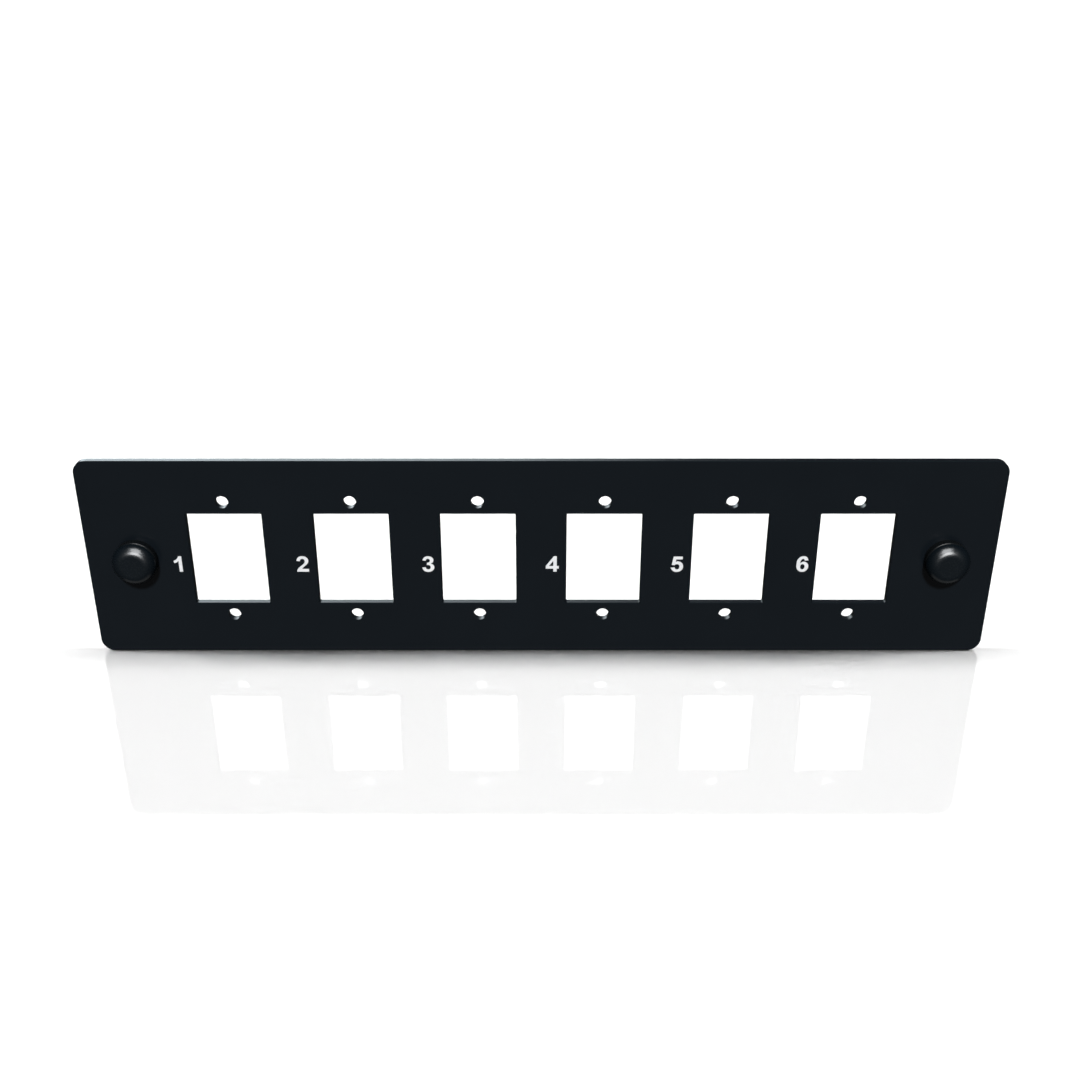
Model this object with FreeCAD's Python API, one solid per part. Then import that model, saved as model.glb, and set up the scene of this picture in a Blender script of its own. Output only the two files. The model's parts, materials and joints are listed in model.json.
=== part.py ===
import FreeCAD, Part
import os

# Fibre adapter plate for a network enclosure: a coated steel plate with a row of
# adapter openings, held to its panel by a push fastener at each end.
# Millimetres. +Z is up, the front faces -Y and +X is to the right seen from the front.
# The origin is the middle of the plate's back face, which seats on the panel.

# Plate
plate_length = 130.0
plate_height = 30.5
plate_thickness = 1.0
plate_corner_radius = 1.9
front_edge_break = 0.12

# Adapter openings, each with a screw hole above and below it
opening_count = 6
opening_width = 10.68
opening_height = 14.3
opening_corner_radius = 0.15
screw_hole_diameter = 1.85
screw_hole_land = 0.925

# Push fasteners, one at each end at mid height
fastener_to_end = 7.1
fastener_to_opening = 13.1
panel_grip = 2.0
plunger_travel = 3.0

# Grommet: flange, seat in the plate, and a barrel split into four legs
flange_diameter = 6.25
flange_thickness = 1.1
flange_edge_round = 0.25
barrel_diameter = 4.5
seat_step = 0.09
seat_draft = 0.04
seat_clearance = 0.02
barb_gap = 0.1
barb_ramp = 0.2
barb_land = 0.35
barb_rise = 0.21
nose_diameter = 3.7
nose_bevel = 0.2
slot_width = 0.7
slot_depth_in_plate = 0.4
mouth_lead = 0.15
bead_chamber_diameter = 3.24
throat_length = 1.7
throat_exit_diameter = 2.2

# Plunger: button head, shank with two click grooves, bead and spreading tip
head_diameter = 6.3
head_height = 1.55
head_edge_radius = 1.53
head_rim_height = 0.33
head_foot_bevel = 0.3
head_seat_gap = 0.02
shank_diameter = 2.5
shank_clearance = 0.05
groove_half_width = 0.25
groove_depth = 0.12
bead_length = 0.6
bead_clearance = 0.06
stop_clearance = 0.1
tip_overhang = 0.25
tip_bevel = 0.2

# Length by which every cutting shape overshoots the face it cuts
end_margin = 1.0

# Places across the plate that follow from the sizes above
fastener_spacing = plate_length - 2 * fastener_to_end
opening_pitch = (fastener_spacing - 2 * fastener_to_opening) / (opening_count - 1)
screw_hole_spacing = opening_height + 2 * screw_hole_land + screw_hole_diameter

# Radii and stations along the fastener's axis that follow from the sizes above
front_y = -plate_thickness
flange_front_y = front_y - flange_thickness
head_seat_y = flange_front_y - head_seat_gap
barrel_radius = barrel_diameter / 2
seat_radius = barrel_radius + seat_step
plate_hole_radius = seat_radius + seat_clearance
barb_start_y = panel_grip + barb_gap
shank_radius = shank_diameter / 2
bore_radius = shank_radius + shank_clearance
chamber_radius = bead_chamber_diameter / 2
bead_radius = chamber_radius - bead_clearance
bead_y = front_y + plunger_travel + stop_clearance + (bead_radius - bore_radius)
throat_y = bead_y + bead_length
throat_exit_radius = throat_exit_diameter / 2
legs_end_y = throat_y + throat_length


def centres():
    """X of each adapter opening, from left to right."""
    middle = (opening_count - 1) / 2
    return [(i - middle) * opening_pitch for i in range(opening_count)]


def point(radius, y):
    return FreeCAD.Vector(radius, y, 0)


def polyline(points):
    """Straight edges through the points, in order."""
    return [Part.LineSegment(a, b).toShape() for a, b in zip(points, points[1:])]


def shorter_arc(start, end, centre):
    """The shorter arc from start to end round the centre."""
    middle = (start + end) * 0.5 - centre
    middle = centre + middle.normalize() * (start - centre).Length
    return Part.Arc(start, middle, end).toShape()


def turned(edges):
    """A solid of revolution about the Y axis from a closed outline of edges."""
    face = Part.Face(Part.Wire(edges))
    return face.revolve(FreeCAD.Vector(0, 0, 0), FreeCAD.Vector(0, 1, 0), 360)


def rounded_block(length, height, radius, y_from, y_to):
    """A block with its long corners rounded, centred on the Y axis."""
    block = Part.makeBox(length, y_to - y_from, height, FreeCAD.Vector(-length / 2, y_from, -height / 2))
    upright = [e for e in block.Edges if abs(e.tangentAt(0).y) > 0.99]
    return block.makeFillet(radius, upright)


def hole(radius, x, z):
    start = FreeCAD.Vector(x, front_y - end_margin, z)
    return Part.makeCylinder(radius, plate_thickness + 2 * end_margin, start, FreeCAD.Vector(0, 1, 0))


def lies_on_front(edge):
    return all(abs(v.Point.y - front_y) < 1e-6 for v in edge.Vertexes)


def adapter_plate():
    plate = rounded_block(plate_length, plate_height, plate_corner_radius, front_y, 0)
    window = rounded_block(
        opening_width, opening_height, opening_corner_radius, front_y - end_margin, end_margin
    )
    for x in centres():
        plate = plate.cut(window.translated(FreeCAD.Vector(x, 0, 0)))
    plate = plate.makeChamfer(front_edge_break, [e for e in plate.Edges if lies_on_front(e)])
    for x in centres():
        for z in (-screw_hole_spacing / 2, screw_hole_spacing / 2):
            plate = plate.cut(hole(screw_hole_diameter / 2, x, z))
    for x in (-fastener_spacing / 2, fastener_spacing / 2):
        plate = plate.cut(hole(plate_hole_radius, x, 0))
    return plate


def grommet_body():
    """Flange, drafted seat, barrel, barb and nose, with the bore, bead chamber and throat inside."""
    flange_radius = flange_diameter / 2
    nose_radius = nose_diameter / 2
    barb_radius = barrel_radius + barb_rise
    lip_ramp = chamber_radius - bore_radius
    rim_start = point(flange_radius - flange_edge_round, flange_front_y)
    rim_end = point(flange_radius, flange_front_y + flange_edge_round)
    outline = [
        rim_end,
        point(flange_radius, front_y),
        point(seat_radius, front_y),
        point(seat_radius - seat_draft, 0),
        point(barrel_radius, 0),
        point(barrel_radius, barb_start_y),
        point(barb_radius, barb_start_y + barb_ramp),
        point(barb_radius, barb_start_y + barb_ramp + barb_land),
        point(nose_radius, legs_end_y - nose_bevel),
        point(nose_radius - nose_bevel, legs_end_y),
        point(throat_exit_radius, legs_end_y),
        point(chamber_radius, throat_y),
        point(chamber_radius, front_y + lip_ramp),
        point(bore_radius, front_y),
        point(bore_radius, flange_front_y + mouth_lead),
        point(bore_radius + mouth_lead, flange_front_y),
        rim_start,
    ]
    rim = shorter_arc(rim_start, rim_end, point(rim_start.x, rim_end.y))
    return turned([rim] + polyline(outline))


def leg_slot():
    """A slot through the barrel, round at its root and open at the legs' ends."""
    root_y = slot_width / 2 - slot_depth_in_plate
    reach = barrel_diameter + 2 * end_margin
    length = legs_end_y + end_margin - root_y
    gap = Part.makeBox(reach, length, slot_width, FreeCAD.Vector(-reach / 2, root_y, -slot_width / 2))
    start = FreeCAD.Vector(-reach / 2, root_y, 0)
    root = Part.makeCylinder(slot_width / 2, reach, start, FreeCAD.Vector(1, 0, 0))
    return gap.fuse(root)


def grommet():
    body = grommet_body()
    slot = leg_slot()
    for angle in (45, 135):
        turned_slot = slot.copy()
        turned_slot.rotate(FreeCAD.Vector(0, 0, 0), FreeCAD.Vector(0, 1, 0), angle)
        body = body.cut(turned_slot)
    return body


def button_head():
    """The button: a flat face, a large round from it down to the rim, and a bevel under the rim."""
    radius = head_diameter / 2
    face_y = head_seat_y - head_height
    rim = point(radius, head_seat_y - head_rim_height)
    round_centre_y = face_y + head_edge_radius
    face_radius = radius - (head_edge_radius**2 - (rim.y - round_centre_y) ** 2) ** 0.5
    face_edge = point(face_radius, face_y)
    outline = [
        rim,
        point(radius - head_foot_bevel, head_seat_y),
        point(0, head_seat_y),
        point(0, face_y),
        face_edge,
    ]
    edge = shorter_arc(face_edge, rim, point(face_radius, round_centre_y))
    return turned([edge] + polyline(outline))


def click_groove(y):
    """Outline of the shallow V that rings the shank at a station."""
    return [
        point(shank_radius, y - groove_half_width),
        point(shank_radius - groove_depth, y),
        point(shank_radius, y + groove_half_width),
    ]


def plunger():
    bead_ramp = bead_radius - shank_radius
    tip_radius = throat_exit_radius - bead_clearance
    tip_y = legs_end_y + tip_overhang
    home_groove_y = (flange_front_y + front_y) / 2
    outline = [
        point(tip_radius - tip_bevel, tip_y),
        point(0, tip_y),
        point(0, head_seat_y),
        point(shank_radius, head_seat_y),
        *click_groove(home_groove_y),
        *click_groove(home_groove_y + plunger_travel),
        point(shank_radius, bead_y - bead_ramp),
        point(bead_radius, bead_y),
        point(bead_radius, throat_y),
        point(tip_radius, legs_end_y),
        point(tip_radius, tip_y - tip_bevel),
    ]
    shank = turned(polyline(outline + outline[:1]))
    return button_head().fuse(shank).removeSplitter()


def solid_of(shape):
    """The one solid of a shape, checked to be closed and valid."""
    assert len(shape.Solids) == 1 and shape.isValid()
    return shape.Solids[0]


def write_nodes():
    nodes = {"adapter_plate": adapter_plate()}
    for side, x in (("left", -fastener_spacing / 2), ("right", fastener_spacing / 2)):
        place = FreeCAD.Vector(x, 0, 0)
        nodes["grommet_" + side] = grommet().translated(place)
        nodes["plunger_" + side] = plunger().translated(place)
    os.makedirs("parts", exist_ok=True)
    for name, shape in nodes.items():
        solid_of(shape).exportStep(os.path.join("parts", name + ".step"))
        print(name, round(shape.Volume, 3), "mm3")


write_nodes()
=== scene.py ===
import bpy
import json
import math
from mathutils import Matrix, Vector


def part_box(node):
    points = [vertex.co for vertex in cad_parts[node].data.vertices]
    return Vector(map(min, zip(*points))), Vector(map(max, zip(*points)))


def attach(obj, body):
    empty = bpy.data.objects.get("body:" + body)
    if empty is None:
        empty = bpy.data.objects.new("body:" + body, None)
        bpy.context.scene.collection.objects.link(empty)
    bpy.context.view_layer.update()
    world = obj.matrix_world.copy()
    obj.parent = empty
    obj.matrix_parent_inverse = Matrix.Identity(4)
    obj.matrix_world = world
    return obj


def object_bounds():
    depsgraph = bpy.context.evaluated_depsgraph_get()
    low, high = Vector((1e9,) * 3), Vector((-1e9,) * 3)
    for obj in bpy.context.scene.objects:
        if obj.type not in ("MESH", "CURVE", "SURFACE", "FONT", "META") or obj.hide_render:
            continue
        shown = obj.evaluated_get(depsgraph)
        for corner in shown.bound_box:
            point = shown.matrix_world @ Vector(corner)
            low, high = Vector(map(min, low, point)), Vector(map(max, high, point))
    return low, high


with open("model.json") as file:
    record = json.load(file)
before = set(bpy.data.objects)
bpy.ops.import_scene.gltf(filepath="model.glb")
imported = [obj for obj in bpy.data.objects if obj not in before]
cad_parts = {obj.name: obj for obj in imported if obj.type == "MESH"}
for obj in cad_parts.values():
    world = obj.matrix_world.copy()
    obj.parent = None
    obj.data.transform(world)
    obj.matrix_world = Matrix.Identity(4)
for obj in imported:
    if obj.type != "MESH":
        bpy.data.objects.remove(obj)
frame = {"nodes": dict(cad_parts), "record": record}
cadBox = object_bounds()
print("frame loaded")

mm = 0.001


# camera, set where the picture was taken from
view = {
    "place": (-0.17 * mm, -168.3 * mm, 86.8 * mm),
    "tiltDown": 26.58,                                  # degrees below level
    "lens": 43.87,
    "sensor": 36,
    "near": 5 * mm,
    "far": 20,
}


def addCamera():
    data = bpy.data.cameras.new("camera")
    data.lens = view["lens"]
    data.sensor_width = view["sensor"]
    data.clip_start = view["near"]
    data.clip_end = view["far"]
    camera = bpy.data.objects.new("camera", data)
    camera.location = view["place"]
    camera.rotation_euler = (math.radians(90 - view["tiltDown"]), 0, 0)
    bpy.context.scene.collection.objects.link(camera)
    bpy.context.scene.camera = camera


# node helpers
def startMaterial(name):
    material = bpy.data.materials.new(name)
    material.use_nodes = True
    return material, material.node_tree, material.node_tree.nodes["Principled BSDF"]


def addNoise(tree, scale, detail, roughness):
    place = tree.nodes.new("ShaderNodeTexCoord")
    noise = tree.nodes.new("ShaderNodeTexNoise")
    noise.inputs["Scale"].default_value = scale
    noise.inputs["Detail"].default_value = detail
    noise.inputs["Roughness"].default_value = roughness
    tree.links.new(place.outputs["Object"], noise.inputs["Vector"])
    return noise.outputs["Fac"]


def addLevel(tree, value, low, high, start=0, end=1):   # low at the start, high at the end and past it
    level = tree.nodes.new("ShaderNodeMapRange")
    level.inputs["From Min"].default_value = start
    level.inputs["From Max"].default_value = end
    level.inputs["To Min"].default_value = low
    level.inputs["To Max"].default_value = high
    tree.links.new(value, level.inputs["Value"])
    return level.outputs["Result"]


def addBlend(tree, value, dark, light, start, end):
    ramp = tree.nodes.new("ShaderNodeValToRGB")
    ramp.color_ramp.elements[0].position = start
    ramp.color_ramp.elements[0].color = (*dark, 1)
    ramp.color_ramp.elements[1].position = end
    ramp.color_ramp.elements[1].color = (*light, 1)
    tree.links.new(value, ramp.inputs["Fac"])
    return ramp.outputs["Color"]


def addBump(tree, shader, height, strength, depth):
    bump = tree.nodes.new("ShaderNodeBump")
    bump.inputs["Strength"].default_value = strength
    bump.inputs["Distance"].default_value = depth
    tree.links.new(height, bump.inputs["Height"])
    tree.links.new(bump.outputs["Normal"], shader.inputs["Normal"])


def addMath(tree, operation, *values):
    node = tree.nodes.new("ShaderNodeMath")
    node.operation = operation
    for socket, value in zip(node.inputs, values):
        tree.links.new(value, socket)
    return node.outputs["Value"]


def addAxis(tree, node, output, axis):
    split = tree.nodes.new("ShaderNodeSeparateXYZ")
    tree.links.new(tree.nodes.new(node).outputs[output], split.inputs["Vector"])
    return split.outputs[axis]


# 1 for camera rays, and 1 for glossy and transmission rays
def addSeen(tree):
    path = tree.nodes.new("ShaderNodeLightPath")
    mirrored = addMath(tree, "MAXIMUM", path.outputs["Is Glossy Ray"], path.outputs["Is Transmission Ray"])
    return path.outputs["Is Camera Ray"], mirrored


# every finish is a cloudy base colour, an uneven roughness and a fine grain of its own
noiseSpan = (0.3, 0.7)                                  # the noise between these goes from dark to light
cloudNoise = (3, 0.5)                                   # detail and roughness of the clouds
grainNoise = (4, 0.6)                                   # and of the grain


def makeFinish(name, finish):
    material, tree, shader = startMaterial(name)
    cloud = addNoise(tree, finish["cloudScale"], *cloudNoise)
    grain = addNoise(tree, finish["grainScale"], *grainNoise)
    colour = addBlend(tree, cloud, finish["dark"], finish["light"], *noiseSpan)
    roughness = addLevel(tree, grain, *finish["roughness"], *noiseSpan)
    tree.links.new(colour, shader.inputs["Base Color"])
    tree.links.new(roughness, shader.inputs["Roughness"])
    shader.inputs["Specular IOR Level"].default_value = finish["gloss"]
    addBump(tree, shader, grain, finish["grain"], finish["grainDepth"])
    return material


# baked black coating of the plate, with a faint orange peel
coating = {
    "dark": (0.0054, 0.0080, 0.0109),
    "light": (0.0062, 0.0090, 0.0121),
    "cloudScale": 70,                                   # clouds of about 14 mm
    "grainScale": 1500,                                 # grain of about 0.7 mm
    "grain": 0.12,
    "grainDepth": 0.02 * mm,
    "roughness": (0.22, 0.27),
    "gloss": 0.2,
}

# nylon of the grommets, with little gloss
grommetNylon = {
    "dark": (0.0052, 0.0064, 0.0074),
    "light": (0.0064, 0.0078, 0.0088),
    "cloudScale": 400,
    "grainScale": 5000,
    "grain": 0.06,
    "grainDepth": 0.01 * mm,
    "roughness": (0.24, 0.30),
    "gloss": 0.04,
}

# nylon of the plungers, darker and glossier
plungerNylon = {
    "dark": (0.0023, 0.0049, 0.0074),
    "light": (0.0031, 0.0059, 0.0086),
    "cloudScale": 350,
    "grainScale": 4000,
    "grain": 0.03,
    "grainDepth": 0.01 * mm,
    "roughness": (0.25, 0.29),
    "gloss": 0.12,
}

# printed white ink of the port numbers, thinner in places
ink = {
    "dark": (0.84, 0.86, 0.88),
    "light": (0.96, 0.97, 0.98),
    "cloudScale": 1500,
    "grainScale": 7000,
    "grain": 0.1,
    "grainDepth": 0.01 * mm,
    "roughness": (0.5, 0.65),
    "gloss": 0.2,
}


def dressNodes():
    finishes = {
        "adapter_plate": makeFinish("coatedSteel", coating),
        "grommet": makeFinish("grommetNylon", grommetNylon),
        "plunger": makeFinish("plungerNylon", plungerNylon),
    }
    for node in frame["nodes"]:
        kind = node if node in finishes else node.split("_")[0]
        mesh = bpy.data.objects[node].data
        mesh.materials.clear()
        mesh.materials.append(finishes[kind])


# port numbers: outlines on a grid of 100 to their height, where True marks a point that the outline rounds
numbers = {
    "height": 2.49 * mm,
    "stretch": 1.06,                                    # widths against heights
    "grid": 100,
    "cell": 70,                                         # width of every number's cell on the grid
    "left": 7.36 * mm,                                  # cell's middle, left of its opening's middle
    "below": 0.75 * mm,                                 # cell's middle, below the plate's middle
    "ink": 0.02 * mm,
    "steps": 6,                                         # along each piece of an outline
    "outlines": {
        "1": [[
            (60, 0), (42, 0), (42, 70), (32, 61, True), (19, 55), (15, 70), (33, 82, True), (44, 100),
            (60, 100),
        ]],
        "2": [[
            (68, 0), (2, 0), (6, 14, True), (18, 30, True), (36, 46, True), (45, 57, True), (48, 70, True),
            (44, 80, True), (35, 83, True), (26, 79, True), (22, 68), (4, 70), (12, 91, True), (36, 100, True),
            (59, 92, True), (68, 72, True), (64, 56, True), (51, 40, True), (38, 28, True), (31, 18), (68, 18),
        ]],
        "3": [[
            (6, 27), (25, 30), (29, 19, True), (38, 15, True), (48, 19, True), (52, 30, True), (48, 40, True),
            (39, 44, True), (31, 43), (33, 58), (43, 61, True), (49, 71, True), (46, 80, True), (38, 84, True),
            (30, 80, True), (26, 71), (8, 74), (20, 94, True), (39, 100, True), (60, 93, True), (68, 75, True),
            (64, 61, True), (54, 53), (67, 44, True), (72, 29, True), (63, 8, True), (39, -1, True),
            (15, 8, True),
        ]],
        "4": [
            [(40, 0), (40, 20), (-1, 20), (-1, 37), (43, 100), (59, 100), (59, 37), (70, 37), (70, 20),
             (59, 20), (59, 0)],
            [(40, 37), (40, 71), (17, 37)],
        ],
        "5": [[
            (0, 26), (21, 29), (26, 18, True), (34, 15, True), (43, 19, True), (47, 32, True), (43, 45, True),
            (33, 49, True), (27, 48, True), (20, 42), (5, 45), (14, 98), (63, 98), (63, 80), (29, 80),
            (26, 64), (38, 67, True), (58, 58, True), (67, 34, True), (58, 9, True), (34, -1, True),
            (11, 7, True),
        ]],
        "6": [
            [(67, 74), (59, 93, True), (39, 100, True), (14, 88, True), (4, 50, True), (13, 11, True),
             (37, -1, True), (60, 9, True), (69, 33, True), (61, 56, True), (41, 65, True), (23, 55),
             (28, 76, True), (39, 84, True), (48, 72)],
            [(37, 49, True), (25, 33, True), (37, 15, True), (49, 32, True)],
        ],
    },
}


def addOutline(curve, points):
    spline = curve.splines.new("BEZIER")
    spline.bezier_points.add(len(points) - 1)
    spline.use_cyclic_u = True
    for knot, (x, y, *rounded) in zip(spline.bezier_points, points):
        knot.co = (x / numbers["grid"], y / numbers["grid"], 0)
        kind = "AUTO" if rounded else "VECTOR"
        knot.handle_left_type = kind
        knot.handle_right_type = kind


def makeFlatNumber(digit):                              # lying down, 1 high
    curve = bpy.data.curves.new("outline" + digit, "CURVE")
    curve.dimensions = "2D"
    curve.fill_mode = "BOTH"
    curve.resolution_u = numbers["steps"]
    curve.extrude = numbers["ink"] / 2 / numbers["height"]
    for outline in numbers["outlines"][digit]:
        addOutline(curve, outline)
    flat = bpy.data.objects.new("outline" + digit, curve)
    mesh = bpy.data.meshes.new_from_object(flat)
    bpy.data.objects.remove(flat)
    return mesh


def addNumber(digit, middleX, finish):
    mesh = makeFlatNumber(digit)
    height = numbers["height"]
    middle = numbers["cell"] / 2 / numbers["grid"]
    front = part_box("adapter_plate")[0][1]
    for vertex in mesh.vertices:                        # stand the flat number up on the plate's front
        x, z, depth = vertex.co
        vertex.co.x = middleX + (x - middle) * height * numbers["stretch"]
        vertex.co.y = front - numbers["ink"] / 2 - depth * height
        vertex.co.z = -numbers["below"] + (z - 0.5) * height
    mesh.materials.clear()
    mesh.materials.append(finish)
    number = bpy.data.objects.new("number" + digit, mesh)
    bpy.context.scene.collection.objects.link(number)
    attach(number, "panel")


def addNumbers():
    finish = makeFinish("whiteInk", ink)
    ports = frame["record"]["physics"]["openings"]
    for digit, port in zip(numbers["outlines"], ports):
        low, high = port["box_m"]
        addNumber(digit, (low[0] + high[0]) / 2 - numbers["left"], finish)


# pale floor, level with the plate's lower edge; its glow shows to the camera and in reflections only, and
# stays away from the plate's shadow and mirror image in front of it
# the glow is painted light: it whitens the floor, and the shade on it, behind and beside the plate and far in
# front of it
floorSet = {
    "size": 3.0,
    "colour": (0.90, 0.90, 0.90, 1),
    "roughness": 0.04,
    "gloss": 0.6,
    "glow": 0.14,
    "glowBehind": 10 * mm,                              # over which it comes up behind the plate,
    "glowBeside": 8 * mm,                               # beside its ends
    "glowBefore": (-120 * mm, -70 * mm),                # and well in front of it
}


# painted light on the floor: an even glow, cut out over the plate's shadow and mirror image in front of it
def addGlow(tree):
    across = addMath(tree, "ABSOLUTE", addAxis(tree, "ShaderNodeNewGeometry", "Position", "X"))
    along = addAxis(tree, "ShaderNodeNewGeometry", "Position", "Y")
    end = cadBox[1][0]
    glow = floorSet["glow"]
    beside = addLevel(tree, across, 0, glow, end, end + floorSet["glowBeside"])
    behind = addLevel(tree, along, 0, glow, 0, floorSet["glowBehind"])
    before = addLevel(tree, along, glow, 0, *floorSet["glowBefore"])
    around = addMath(tree, "MAXIMUM", before, addMath(tree, "MAXIMUM", beside, behind))
    seen, mirrored = addSeen(tree)
    return addMath(tree, "MULTIPLY", around, addMath(tree, "MAXIMUM", seen, mirrored))


def addFloor():
    low = cadBox[0][2]
    half = floorSet["size"] / 2
    mesh = bpy.data.meshes.new("floor")
    corners = [(-half, -half, low), (half, -half, low), (half, half, low), (-half, half, low)]
    mesh.from_pydata(corners, [], [(0, 1, 2, 3)])
    floor = bpy.data.objects.new("floor", mesh)
    bpy.context.scene.collection.objects.link(floor)
    floor.visible_diffuse = False                       # the black finishes don't pick the floor up
    floor.visible_glossy = False
    material, tree, shader = startMaterial("paleFloor")
    shader.inputs["Base Color"].default_value = floorSet["colour"]
    shader.inputs["Roughness"].default_value = floorSet["roughness"]
    shader.inputs["Specular IOR Level"].default_value = floorSet["gloss"]
    shader.inputs["Emission Color"].default_value = (1, 1, 1, 1)
    tree.links.new(addGlow(tree), shader.inputs["Emission Strength"])
    mesh.materials.append(material)
    return floor


# studio light: suns that light the colours, and softboxes that only show as highlights
suns = {
    "key": {"from": (0, -0.72, 0.69), "angle": 7, "level": 1.1},
    "back": {"from": (0, 0.90, 0.45), "angle": 60, "level": 1.1},
}
floorSuns = {                                           # on the left and on the right, for the floor's shadow
    "high": {"from": (0.257, 0.139, 0.956), "angle": 12, "level": 0.071},
    "middle": {"from": (0.641, 0.070, 0.764), "angle": 8, "level": 0.222},
    "low": {"from": (0.819, 0.035, 0.573), "angle": 8, "level": 0.296},
    "lowest": {"from": (0.905, 0.052, 0.422), "angle": 8, "level": 0.268},
}
backdrops = {                                           # all round, for the floor's gloss
    "behindDrop": {"place": (0, 1.50, 1.20), "size": (6.0, 3.2), "brightness": 3.0},
    "frontDrop": {"place": (0, -1.50, 1.20), "size": (6.0, 3.2), "brightness": 3.0},
    "leftDrop": {"place": (-2.2, 0, 1.20), "size": (5.4, 3.2), "brightness": 3.0},
    "rightDrop": {"place": (2.2, 0, 1.20), "size": (5.4, 3.2), "brightness": 3.0},
}
fastenerBoxes = {                                       # for the left fastener, mirrored for the right one
    "frontBox": {"place": (-0.13, -1.90, 0.66), "size": (1.14, 0.84), "brightness": 92, "lights": "Plunger"},
    "topBox": {"place": (0.14, -1.23, 1.57), "size": (1.45, 1.45), "brightness": 48, "lights": "Fastener"},
    "backBox": {"place": (-0.50, 0.80, 0.55), "size": (0.50, 0.50), "brightness": 45, "lights": "Fastener"},
    "lowBox": {"place": (-58 * mm, -5.5 * mm, -15 * mm), "aim": (-58 * mm, -5.5 * mm, 0),
               "size": (0.020, 0.008), "brightness": 0.6, "lights": "Plunger"},
}
edgeRow = {                                             # behind the plate, for its edges, dimmer rightwards
    "away": 0.80,
    "up": 0.28,
    "height": 0.38,
    "colour": (0.83, 0.94, 1.0),
    "boxes": [                                          # from and to in degrees rightwards, and brightness
        (-44, -18, 6.4), (-18, -12, 4.7), (-12, -6, 4.6), (-6, 0, 3.3), (0, 6, 1.2), (6, 12, 0.15),
    ],
}
worldSet = {
    "seen": 1.0,                                        # by the camera
    "lighting": 0.10,
    "mirrored": 0.18,                                   # in reflections and through glass, from the front
    "mirroredBehind": 0.04,
    "turn": (-0.7, 0),                                  # between which one becomes the other, front to back
}
sides = {"left": 1, "right": -1}                        # what turns the left side's x into its own


def makeReceivers(floor):
    everything = [item for item in bpy.context.scene.objects if item.type == "MESH" and item is not floor]
    receivers = {"floor": [floor], "object": everything}
    for side in sides:
        plunger = bpy.data.objects["plunger_" + side]
        receivers[side + "Plunger"] = [plunger]
        receivers[side + "Fastener"] = [plunger, bpy.data.objects["grommet_" + side]]
    for name, items in receivers.items():
        receivers[name] = bpy.data.collections.new(name + "Lit")
        for item in items:
            receivers[name].objects.link(item)
    return receivers


def turned(point, turn):
    return Vector((turn * point[0], point[1], point[2]))


def addLamp(name, data, away, receiver):
    light = bpy.data.objects.new(name, data)
    light.rotation_euler = away.to_track_quat("Z", "Y").to_euler()
    light.visible_camera = False
    light.light_linking.receiver_collection = receiver
    bpy.context.scene.collection.objects.link(light)
    return light


def addSun(name, sun, turn, receiver):
    data = bpy.data.lights.new(name, "SUN")
    data.energy = sun["level"] * math.pi                # a white face turned to it renders at this level
    data.angle = math.radians(sun["angle"])
    light = addLamp(name, data, turned(sun["from"], turn), receiver)
    light.visible_glossy = False


def addSoftbox(name, box, turn, receiver):
    data = bpy.data.lights.new(name, "AREA")
    data.shape = "RECTANGLE"
    data.size, data.size_y = box["size"]
    data.energy = box["brightness"] * math.pi * data.size * data.size_y
    data.color = box.get("colour", (1, 1, 1))
    place = turned(box["place"], turn)
    light = addLamp(name, data, place - turned(box.get("aim", (0, 0, 0)), turn), receiver)
    light.location = place
    light.visible_diffuse = False


def addEdgeRow(receiver):
    away = edgeRow["away"]
    for count, (start, end, brightness) in enumerate(edgeRow["boxes"], 1):
        middle = math.radians((start + end) / 2)
        half = math.radians((end - start) / 2)
        box = {
            "place": (away * math.sin(middle), away * math.cos(middle), edgeRow["up"]),
            "size": (2 * away * math.tan(half), edgeRow["height"]),
            "brightness": brightness,
            "colour": edgeRow["colour"],
        }
        addSoftbox("edgeBox%d" % count, box, 1, receiver)


def addWorld():
    world = bpy.data.worlds.new("world")
    bpy.context.scene.world = world
    world.use_nodes = True
    tree = world.node_tree
    background = tree.nodes["Background"]
    background.inputs["Color"].default_value = (1, 1, 1, 1)
    seen, mirrored = addSeen(tree)
    along = addAxis(tree, "ShaderNodeTexCoord", "Generated", "Y")
    around = addLevel(tree, along, worldSet["mirrored"], worldSet["mirroredBehind"], *worldSet["turn"])
    reflected = addMath(tree, "MULTIPLY", mirrored, around)
    lighting = addLevel(tree, mirrored, worldSet["lighting"], 0)
    shown = addLevel(tree, seen, 0, worldSet["seen"])
    unseen = addMath(tree, "MAXIMUM", reflected, lighting)
    tree.links.new(addMath(tree, "MAXIMUM", shown, unseen), background.inputs["Strength"])


def addLight(floor):
    receivers = makeReceivers(floor)
    for name, sun in suns.items():
        addSun(name, sun, 1, receivers["object"])
    for name, box in backdrops.items():
        addSoftbox(name, box, 1, receivers["floor"])
    for side, turn in sides.items():
        for name, sun in floorSuns.items():
            addSun(name + side.title(), sun, -turn, receivers["floor"])
        for name, box in fastenerBoxes.items():
            addSoftbox(name + side.title(), box, turn, receivers[side + box["lights"]])
    addEdgeRow(receivers["object"])
    addWorld()


addCamera()
print("camera placed")
dressNodes()
addNumbers()
print("plate, fasteners and numbers dressed")
addLight(addFloor())
bpy.context.scene.view_settings.view_transform = "Standard"
print("floor and light set")
